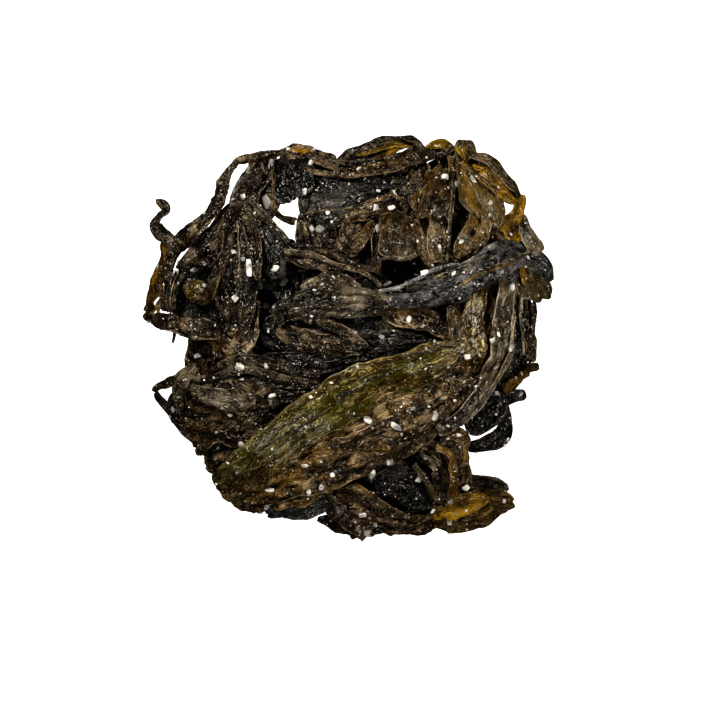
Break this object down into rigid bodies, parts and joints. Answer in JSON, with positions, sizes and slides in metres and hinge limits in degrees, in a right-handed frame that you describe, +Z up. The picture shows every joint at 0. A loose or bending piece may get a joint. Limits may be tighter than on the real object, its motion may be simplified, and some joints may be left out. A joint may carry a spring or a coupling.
{
  "type": "dried wakame",
  "caption": "A palm-sized bundle of dried wakame seaweed: stiff dark fronds folded, rolled and pressed together and crusted with salt, to soak and cook with.",
  "frame": {"origin": "bottom centre of the bundle's box, on the small flat spot that it lies on", "axes": "+Z up, as the bundle lies; +X runs across the bundle towards the black band's free end and +Y towards the golden hoops, as seen from above in the picture"},
  "size_m": [0.0908, 0.091, 0.0375],
  "materials": {
    "dried_frond": "satin, leathery, dark brown to black with olive ribs and amber thin spots, finely wrinkled lengthwise",
    "sea_salt": "coarse and fine white to grey salt crystals, slightly translucent"
  },
  "bodies": {
    "root": {"wakame_bundle": "dried_frond"}
  },
  "joints": []
}
